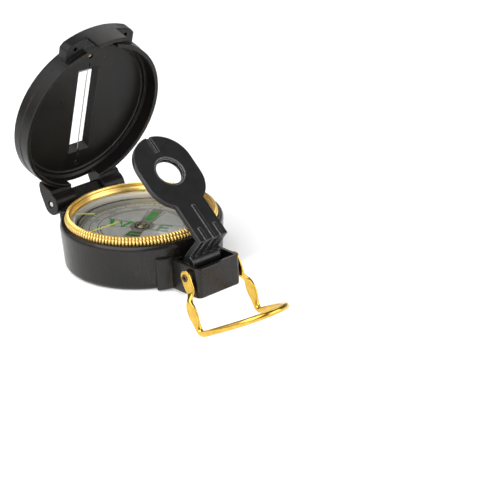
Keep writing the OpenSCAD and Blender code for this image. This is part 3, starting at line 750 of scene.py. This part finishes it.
def ribs():
    """Three ribs that climb the heel and run onto the plate, the middle one farthest."""
    made = []
    front, top, foot = HEEL_Y - RIB_H, PLATE_Z[1] + RIB_H, EYE_Z + BARREL_R - 0.6
    back, buried = HEEL_Y + 0.3, PLATE_Z[1] - 0.5
    for x, length in ((0, 14.2), (-3.3, 5.6), (3.3, 5.6)):
        end = front + length
        side_view = [(front, foot), (back, foot), (back, buried), (end, buried), (end, top - 0.2),
                     (end - 0.6, top), (front + 0.4, top), (front, top - 0.4)]
        rib = prism(side_view, x - RIB_W / 2, x + RIB_W / 2, axis="X")
        made.append(rounded(rib, 0.1, 2, 25))
    return made


def lens_hole():
    """The lens's seat from below, and a smaller hole with a dished rim from above."""
    low, high, face, rim = 18, 23, PLATE_Z[1], LENS_HOLE_R + 0.85
    outline = [(0, low), (LENS_SEAT_R, low), (LENS_SEAT_R, face - LENS_SEAT_D),
               (LENS_HOLE_R, face - LENS_SEAT_D), (LENS_HOLE_R, face - 0.4),
               (LENS_HOLE_R + 0.55, face - 0.35), (LENS_HOLE_R + 0.6, face - 0.15),
               (rim, face + 0.05), (rim, high), (0, high)]
    return moved(lathe(outline, steps=96), y=LENS_Y)


def sight_groove():
    """The rear sight: a groove along the plate's tip with broken bottom corners."""
    half, bottom, broken, length = 0.9, PLATE_Z[1] - 1.2, 0.2, 6.4
    over, past = PLATE_Z[1] + 1, TIP_Y + 0.6
    outline = [(-half, over), (-half, bottom + broken), (broken - half, bottom),
               (half - broken, bottom), (half, bottom + broken), (half, over)]
    return prism(outline, TIP_Y - length, past, axis="Y")


# ---------------------------------------------------------------- bezel

# the ring's outline: radius, z, and how deep the knurl cuts there
BEZEL_OUTLINE = (
    (24.3, 12.9, 0), (24.3, BEZEL_LOW, 0), (25.9, BEZEL_LOW, 0), (26.35, BEZEL_LOW + 0.1, 0.15),
    (26.65, BEZEL_LOW + 0.45, 0.6), (26.75, 15.9, 0.68), (26.75, 16.9, 0.68), (26.66, 17.4, 0.62),
    (26.42, 17.72, 0.42), (26.05, 17.86, 0.12), (26.03, 17.95, 0.12), (26.28, 18.1, 0.45),
    (26.26, 18.4, 0.62), (26.08, 18.72, 0.62), (25.78, 18.95, 0.55), (25.52, BEZEL_TOP, 0.4),
    (25.36, BEZEL_TOP, 0.3), (25.14, 18.85, 0), (25.04, 18.75, 0), (24.98, 18.4, 0), (25.1, 18.3, 0),
    (25.1, 18.12, 0), (24.68, 18.0, 0), (24.6, 17.5, 0), (24.48, 17.4, 0), (24.36, 17.0, 0),
    (24.18, 16.66, 0), (24.1, 16.4, 0), (24.1, 15.8, 0), (23.2, 15.8, 0), (23.2, 12.9, 0))


def bezel(paint):
    """The knurled ring, with a pale lining in the neck under the crystal."""
    made = placed(knurled_ring(), "knurled_bezel", "bezel",
                  [paint["brass"], paint["card"]], ["bezel_ring"], crease=50)
    lining_r, lining_z = (CRYSTAL_R - 0.1) * MM, (CRYSTAL_Z[0] + 0.1) * MM
    for polygon in made.data.polygons:
        x, y, z = polygon.center
        if math.hypot(x, y) < lining_r and z < lining_z:
            polygon.material_index = 1


def knurled_ring():
    """The outline turned about Z, cut in by the knurl, which also runs down from the top edge."""
    per_tooth, sharpness, top_share = 8, 0.8, 0.7
    steps = TEETH * per_tooth
    bm = bmesh.new()
    rings = []
    for i in range(steps):
        a = 2 * math.pi * i / steps
        cut = 1 - abs(math.cos(math.pi * i / per_tooth)) ** sharpness
        ring = []
        for r, z, depth in BEZEL_OUTLINE:
            r -= depth * cut
            if z > TOP_EDGE_Z:
                z -= top_share * depth * cut
            ring.append(bm.verts.new((r * math.cos(a), r * math.sin(a), z)))
        rings.append(ring)
    skinned(bm, rings, closed=True)
    return drawn("bezel", bm)


# ---------------------------------------------------------------- dial

def text_shape(words, size, half_t):
    """Text turned into a mesh centred on the origin; half_t is half its thickness."""
    data = bpy.data.curves.new("text", "FONT")
    data.body, data.size = words, size
    data.align_x, data.align_y = "CENTER", "CENTER"
    data.resolution_u = 3
    data.extrude = half_t
    obj = bpy.data.objects.new("text", data)
    scene.collection.objects.link(obj)
    bpy.context.view_layer.update()
    mesh = evaluated_mesh(obj)
    bpy.data.objects.remove(obj)
    made = bpy.data.objects.new("text", mesh)
    scene.collection.objects.link(made)
    return made


def merged(objects):
    """One object from several, which may stay apart."""
    bm = bmesh.new()
    for obj in objects:
        obj.data.transform(obj.matrix_basis)
        bm.from_mesh(obj.data)
        bpy.data.objects.remove(obj)
    mesh = bpy.data.meshes.new("merged")
    bm.to_mesh(mesh)
    bm.free()
    made = bpy.data.objects.new("merged", mesh)
    scene.collection.objects.link(made)
    return made


def ribbon(points, width, low, high, closed=False):
    """A thin flat line of ink or paint through points in the dial's plane."""
    bm = bmesh.new()
    rows = []
    count = len(points)
    for i, p in enumerate(points):
        before = points[i - 1] if i or closed else p
        after = points[(i + 1) % count] if i < count - 1 or closed else p
        run = Vector((after[0] - before[0], after[1] - before[1])).normalized()
        x, y = -run.y * width / 2, run.x * width / 2
        left, right = (p[0] + x, p[1] + y), (p[0] - x, p[1] - y)
        corners = ((*left, low), (*right, low), (*right, high), (*left, high))
        rows.append([bm.verts.new(v) for v in corners])
    skinned(bm, rows, closed)
    return drawn("ribbon", bm)


def circle(radius, steps):
    """The points of a closed ring about the dial's axis."""
    return arc((0, 0), radius, 0, 360 - 360 / steps, steps - 1)


def spoke(bearing, near, far):
    """Two points on a line out from the dial's axis."""
    a = math.radians(bearing)
    return [(r * math.cos(a), r * math.sin(a)) for r in (near, far)]


def dial(paint):
    """The card, the ink printed on it and the painted shading under the hub and along the north line.
    """
    low, top = DIAL_Z
    edge = 0.1
    card = lathe([(HUB_HOLE_R, low), (DIAL_R, low)] + arc((DIAL_R - edge, top - edge), edge, 0, 90, 3)
                 + [(HUB_HOLE_R, top)], steps=160)
    placed(card, "dial_disc", "dial", paint["card"], ["dial_card"])
    rings = [ribbon(circle(radius, 160), width, top, top + INK_H, closed=True)
             for radius, width in ((21.0, 0.3), (18.5, 0.2), (15.6, 0.25))]
    petals = [ribbon(petal(NORTH + 45 + 90 * quarter), INK_W, top, top + INK_H, closed=True)
              for quarter in range(4)]
    ink = merged(rings + ticks() + numbers() + petals)
    placed(ink, "dial_print", "dial", paint["ink"])
    # painted shade: a darker ring under the hub and bands along the north-south line
    shade = [ribbon(circle(3.4, 60), 2.0, top, top + 0.02, closed=True)]
    shade += [ribbon(spoke(bearing, 4.2, 15.3), 4.4, top, top + 0.015)
              for bearing in (NORTH, NORTH + 180)]
    placed(merged(shade), "dial_shading", "dial", paint["painted_shade"])


def ticks():
    """A tick every 5 degrees, longer every 10."""
    top, outer, long, short = DIAL_Z[1], 20.95, 19.3, 20.1
    marks = [spoke(degree + NORTH, short if degree % 10 else long, outer)
             for degree in range(0, 360, 5)]
    return [ribbon(mark, INK_W, top, top + INK_H) for mark in marks]


def numbers():
    """The bearing every 30 degrees, clockwise from north and upright at the rim."""
    made, size, radius, half_t = [], 1.9, 17.1, 0.012
    for degree in range(0, 360, 30):
        a = math.radians(NORTH - degree)
        number = text_shape(str(degree), size, half_t)
        spot = (radius * math.cos(a), radius * math.sin(a), DIAL_Z[1] + INK_H - half_t)
        number.matrix_basis = Matrix.Translation(spot) @ Matrix.Rotation(a - math.pi / 2, 4, "Z")
        made.append(number)
    return made


def petal(bearing):
    """One of the four rounded windows printed between the dial's arms."""
    inner, outer, half, corner = 5.0, 14.6, 32.0, 1.6
    points = arc((0, 0), outer, bearing - half, bearing + half, 16)
    a = math.radians(bearing)
    nose = (inner * math.cos(a), inner * math.sin(a))
    points += arc(nose, corner, bearing + 115, bearing + 245, 10)
    return points


# the strokes of the letters, in mm from the letter's middle
LETTERS = (
    ("west", 90, "green", [[(-3.8, 2.6), (-1.9, -2.4), (0, 1.6), (1.9, -2.4), (3.8, 2.6)]]),
    ("south", 180, "dark_green", [[(2, 2.4), (-2, 2.4), (-2, 0), (2, 0), (2, -2.4), (-2, -2.4)]]),
    ("east", 270, "faded_green", [[(2, 2.4), (-2, 2.4), (-2, -2.4), (2, -2.4)], [(-2, 0), (1.2, 0)]]))


def paint_marks(paint):
    """Luminous paint: the north arrow, and three letters that read upright when north is up."""
    low, high, stroke_w = DIAL_Z[1], DIAL_Z[1] + PAINT_H, 1.6
    north = Matrix.Rotation(math.radians(NORTH), 4, "Z")
    outline = [(5.0, -1.3), (11.0, -1.7), (14.0, 0.0), (12.3, 1.5), (5.0, 1.3)]
    arrow = rounded(prism(outline, low, high), 0.1, 2)
    placed(arrow, "north_arrow", "dial", paint["green"], ["luminous_marks"], north)
    out = Matrix.Translation((LETTER_R, 0, 0))
    for name, bearing, color, lines in LETTERS:
        letter = rounded(merged([ribbon(line, stroke_w, low, high) for line in lines]), 0.08, 2)
        spot = (north @ Matrix.Rotation(math.radians(bearing), 4, "Z") @ out
                @ Matrix.Rotation(math.radians(-90 - bearing), 4, "Z"))
        placed(letter, f"letter_{name}", "dial", paint[color], ["luminous_marks"], spot)


def hub(paint):
    """The dial's metal boss with a dark ring round it."""
    top = DIAL_Z[1]
    boss = [(HUB_HOLE_R, top), (2.3, top)] + arc((2.0, top + 0.25), 0.3, -20, 60, 4)
    boss += arc((0, top + 0.5), (1.75, 0.55), 0, 88, 8)
    boss += [(0, top + 1.05), (0, top + 0.35), (HUB_HOLE_R, top + 0.35)]
    placed(lathe(boss, steps=64), "hub_boss", "dial", paint["hub"])
    ring = [(2.3, top), (2.9, top), (2.85, top + 0.12), (2.35, top + 0.14)]
    placed(lathe(ring, steps=64), "hub_ring", "dial", paint["bronze"])


# ---------------------------------------------------------------- windows and small parts

def pane(radius, low, high, name, body, made, nodes, y=0.0, where=None, crown=0.0):
    """A clear disc with fine chamfers, crowned if it is a lens."""
    edge = 0.12
    outline = [(0, low), (radius - edge, low), (radius, low + edge), (radius, high - edge),
               (radius - edge, high)]
    if crown:
        rise = [(1 - i / 6, 1 - (1 - i / 6) ** 2) for i in range(1, 6)]
        outline += [(radius * share, high + crown * up) for share, up in rise]
    outline += [(0, high + crown)]
    disc = moved(lathe(outline, steps=128), y=y)
    placed(disc, name, body, made, nodes, where)


# ---------------------------------------------------------------- thumb loop

# one leg from eyelet to leaf to wire: z, x, half-width and half-thickness
LEG_STATIONS = (
    (2.5, 11, 0.9, 0.42), (2.35, 11, 1.5, 0.48), (1.9, 11, 2.05, 0.5), (1.2, 11, 2.42, 0.5),
    (0.4, 11, 2.5, 0.5), (-1, 11, 2.48, 0.5), (-2.5, 11, 2.42, 0.5), (-3.9, 11, 2.32, 0.5),
    (-4.8, 11.02, 2.1, 0.52), (-5.5, 11.15, 1.7, 0.66), (-6.1, 11.45, 1.38, 0.86),
    (-6.7, 11.9, 1.2, 1.0), (-7.3, 12.4, 1.16, 1.02), (-7.9, 12.85, 1.3, 0.92),
    (-8.6, 13.12, 1.6, 0.76), (-9.5, 13.2, 2.08, 0.64), (-10.8, 13.2, 2.46, 0.58),
    (-12.2, 13.2, 2.54, 0.57), (-13.6, 13.2, 2.36, 0.6), (-14.9, 13.18, 1.86, 0.72),
    (-16, 13.1, 1.48, 0.9), (-16.8, 13.04, 1.24, 1.08))


def loop_path():
    """Half of the wire, from the rivet to the middle of the bow. Each station is a point, the
    directions of the wire's width and thickness, and half of each."""
    across, upward = Vector((1, 0, 0)), Vector((0, 0, 1))
    stations = [(Vector((x, 0, z)), Vector((0, -1, 0)), across, half, thick)
                for z, x, half, thick in LEG_STATIONS]
    for i in range(9):                             # the bend from the leg into the bow
        a = math.radians(90 * i / 8)
        at = Vector((BOW_HALF, BEND * math.cos(a) - BEND, BEND - BEND * math.sin(a) - LEG))
        stations.append((at, Vector((0, -math.cos(a), math.sin(a))), across, WIRE_R, WIRE_R))
    end_d = BOW_DEPTH - END_R - BEND
    side_r = (BOW_HALF ** 2 + end_d ** 2 - END_R ** 2) / (2 * (BOW_HALF - END_R))
    sweep = math.degrees(math.asin(end_d / (side_r - END_R)))
    runs = [(BOW_HALF - side_r, -BEND, side_r, -sweep * i / 12) for i in range(1, 13)]
    runs += [(0, -BEND - end_d, END_R, -sweep - (90 - sweep) * i / 14) for i in range(1, 15)]
    for x, y, radius, bearing in runs:             # the bow's side, then its round end
        a = math.radians(bearing)
        at = Vector((x + radius * math.cos(a), y + radius * math.sin(a), -LEG))
        outward = Vector((math.cos(a), math.sin(a), 0))
        stations.append((at, upward, outward, WIRE_R, WIRE_R))
    return stations


def thumb_loop(paint):
    """The loop with its rivet holes, swung out to where it hangs at rest."""
    holes = [rod(x, 0, 0, RIVET_R + RIVET_GAP, 40) for x in ((-14, -9), (9, 14))]
    wire = combined(loop_skin(), "DIFFERENCE", *holes)
    where = Matrix.Translation(LOOP_PIVOT) @ Matrix.Rotation(math.radians(-LOOP_OUT), 4, "X")
    placed(wire, "loop_wire", "loop", paint["gold"], ["thumb_loop"], where, crease=42)


def loop_skin():
    """One swept skin whose section goes from flat eyelet to round wire."""
    sides = 24
    half = loop_path()
    mirror = Matrix.Diagonal((-1, 1, 1))
    far = [(mirror @ p, v, mirror @ u, a, b) for p, v, u, a, b in half]
    bm = bmesh.new()
    rows = []
    for p, v, u, wide, thick in half + list(reversed(far))[1:]:
        power = 2 / (2 + 2.2 * (1 - min(1, thick / wide)))     # squarer where the wire is flattened
        row = []
        for k in range(sides):
            c, s = math.cos(2 * math.pi * k / sides), math.sin(2 * math.pi * k / sides)
            row.append(bm.verts.new(p + v * wide * math.copysign(abs(c) ** power, c)
                                    + u * thick * math.copysign(abs(s) ** power, s)))
        rows.append(row)
    skinned(bm, rows)
    return drawn("loop", bm)


def rivets(paint):
    """Hollow rivets: a washer under the eyelet, the shank, and a rolled head with a dark hole."""
    wall, under, outer = BOX_HALF, EYELET_X - 0.55, EYELET_X + EYELET_T / 2
    outline = [(0, wall - 2.0), (1.8, wall - 2.0), (1.8, wall - 1.5), (RIVET_R, wall - 1.5),
               (RIVET_R, wall + 0.05), (1.9, wall + 0.05), (1.9, under), (RIVET_R, under),
               (RIVET_R, outer - 0.1)]
    outline += arc((1.05, outer + 0.05), 0.3, -20, 180, 10)
    outline += [(0.62, outer - 0.5), (0, outer - 0.55)]
    for side, label in ((-1, "left"), (1, "right")):
        where = Matrix.Translation(LOOP_PIVOT) @ Matrix.Rotation(math.radians(90 * side), 4, "Y")
        placed(lathe(outline, steps=48), f"loop_rivet_{label}", "loop_pivot",
               paint["bronze"], ["loop_rivets"], where)


# ---------------------------------------------------------------- the compass

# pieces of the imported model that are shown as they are, with only their material changed
NODE_PAINT = {
    "capsule_cup": "cup", "window_gasket": "rubber", "pivot_post": "old_brass",
    "hinge_pin": "steel", "eyepiece_pin": "steel", "bezel_snap_ring": "steel",
    "dial_magnets": "steel", "dial_hub": "old_brass", "dial_jewel": "jewel",
    "crystal_lines": "yellow", "sight_wire": "steel", "lens_ring": "eyepiece",
}


def compass():
    """Every piece of the compass, at rest."""
    paint = palette()
    for node, made in NODE_PAINT.items():
        obj = frame["nodes"][node]
        obj.data.materials.clear()
        obj.data.materials.append(paint[made])
    case(paint)
    pin_supports(paint)
    cover(paint)
    wire_screws(paint)
    eyepiece(paint)
    bezel(paint)
    dial(paint)
    paint_marks(paint)
    hub(paint)
    pane(GLASS_R, *GLASS_Z, "capsule_glass", "case", paint["clear"], ["capsule_window"])
    pane(CRYSTAL_R, *CRYSTAL_Z, "bezel_crystal", "bezel", paint["clear"], ["crystal"])
    pane(LENS_SEAT_R - 0.05, PLATE_Z[0] + 0.4, PLATE_Z[1] - LENS_SEAT_D, "eyepiece_lens", "eyepiece",
         paint["lens"], ["magnifier_lens"], LENS_Y, turn("eyepiece_hinge", EYE_UP), crown=0.35)
    thumb_loop(paint)
    rivets(paint)


camera()
studio()
floor()
compass()
